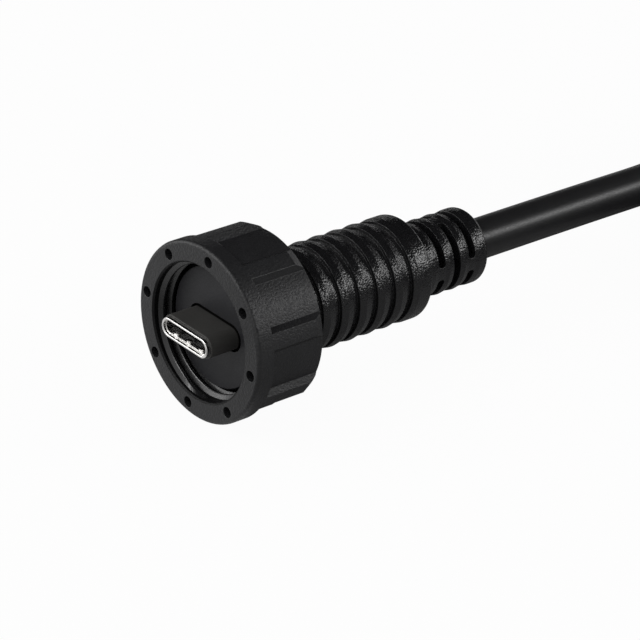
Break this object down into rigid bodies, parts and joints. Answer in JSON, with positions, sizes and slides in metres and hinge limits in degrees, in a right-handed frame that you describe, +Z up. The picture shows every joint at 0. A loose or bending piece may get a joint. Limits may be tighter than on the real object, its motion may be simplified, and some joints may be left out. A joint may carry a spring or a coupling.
{
  "type": "waterproof usb-c cable",
  "caption": "Sealed USB-C cable with a ribbed threaded coupling nut, a grooved grip, a slotted strain relief and a plain plug on its far end.",
  "frame": {"origin": "on the floor, under the middle of the sealed connector from its plug's tip to its strain relief's end", "axes": "+X along the connector's axis toward the cable, +Z up; the plug points to -X"},
  "size_m": [0.1356, 0.0646, 0.0218],
  "materials": {
    "nut_plastic": "fine moulded grain, dark grey",
    "stem_plastic": "smooth satin black",
    "soft_overmould": "coarse leather grain with a slight gloss",
    "cable_jacket": "smooth satin black",
    "far_plastic": "fine matte grain",
    "plated_steel": "satin nickel plate",
    "spring_steel": "bright rolled spring sheet",
    "contact_gold": "gold flash",
    "contact_plastic": "moulded black",
    "card_laminate": "green solder mask",
    "can_tin": "tinned sheet",
    "natural_plastic": "milky natural plastic",
    "ferrule_metal": "crimped sheet",
    "chip_epoxy": "moulded epoxy",
    "wire_red": "extruded insulation",
    "wire_black": "extruded insulation",
    "wire_green": "extruded insulation",
    "wire_white": "extruded insulation"
  },
  "bodies": {
    "connector": {"cable_coil": "cable_jacket", "cable_run": "cable_jacket", "cable_tail": "cable_jacket", "crimp_ferrule": "ferrule_metal", "far_card": "card_laminate", "far_housing": "contact_plastic", "far_jacket_root": "cable_jacket", "far_left_latch": "spring_steel", "far_lower_can": "can_tin", "far_lower_contacts": "contact_gold", "far_lower_spring": "spring_steel", "far_overmould": "far_plastic", "far_right_latch": "spring_steel", "far_shell": "plated_steel", "far_upper_can": "can_tin", "far_upper_contacts": "contact_gold", "far_upper_spring": "spring_steel", "grip_overmould": "soft_overmould", "inner_mould": "natural_plastic", "jacket_root": "cable_jacket", "marker_chip": "chip_epoxy", "plug_card": "card_laminate", "plug_housing": "contact_plastic", "plug_left_latch": "spring_steel", "plug_lower_can": "can_tin", "plug_lower_contacts": "contact_gold", "plug_lower_spring": "spring_steel", "plug_right_latch": "spring_steel", "plug_shell": "plated_steel", "plug_upper_can": "can_tin", "plug_upper_contacts": "contact_gold", "plug_upper_spring": "spring_steel", "seat_disc": "stem_plastic", "stem_sleeve": "stem_plastic", "wire_data_a": "wire_green", "wire_data_b": "wire_white", "wire_ground": "wire_black", "wire_power": "wire_red"},
    "nut": {"coupling_nut": "nut_plastic"}
  },
  "joints": [
    {"name": "nut_spin", "type": "hinge", "parent": "connector", "child": "nut", "pos_m": [-0.0147, 0, 0.0109], "axis": [1, 0, 0], "continuous": true}
  ]
}
